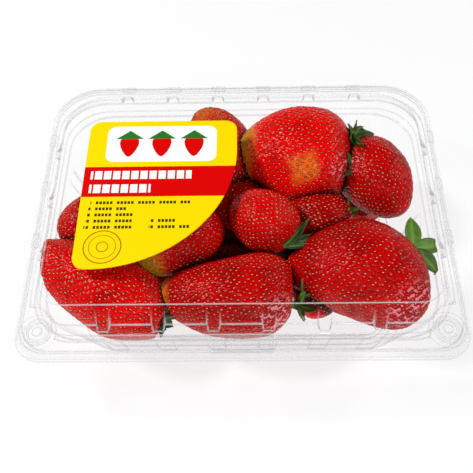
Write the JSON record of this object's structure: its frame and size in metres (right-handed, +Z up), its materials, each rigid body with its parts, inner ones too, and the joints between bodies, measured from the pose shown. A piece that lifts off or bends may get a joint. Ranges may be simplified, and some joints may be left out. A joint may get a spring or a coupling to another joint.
{
  "type": "punnet of strawberries",
  "caption": "Shallow clear hinged box with a ribbed domed lid, snap corners and a corner label, filled with whole ripe strawberries of mixed sizes.",
  "frame": {"origin": "middle of the bounding box's bottom, on the surface that the tray stands on", "axes": "+X to the right along the long side, +Y back towards the hinge, +Z up; the latch tab is on the -Y side"},
  "size_m": [0.188, 0.1494, 0.0611],
  "materials": {
    "tray": "clear thin sheet",
    "strawberries": "ripe fruit skin, satin",
    "lid": "clear thin sheet",
    "label": "printed sticker, half gloss"
  },
  "bodies": {
    "tray": {"tray": "tray", "strawberries": "strawberries"},
    "lid": {"lid": "lid", "label": "label"}
  },
  "joints": [
    {"name": "lid_hinge", "type": "hinge", "parent": "tray", "child": "lid", "pos_m": [0, 0.07485, 0.046], "axis": [-1, 0, 0], "range_deg": [0, 180]}
  ]
}
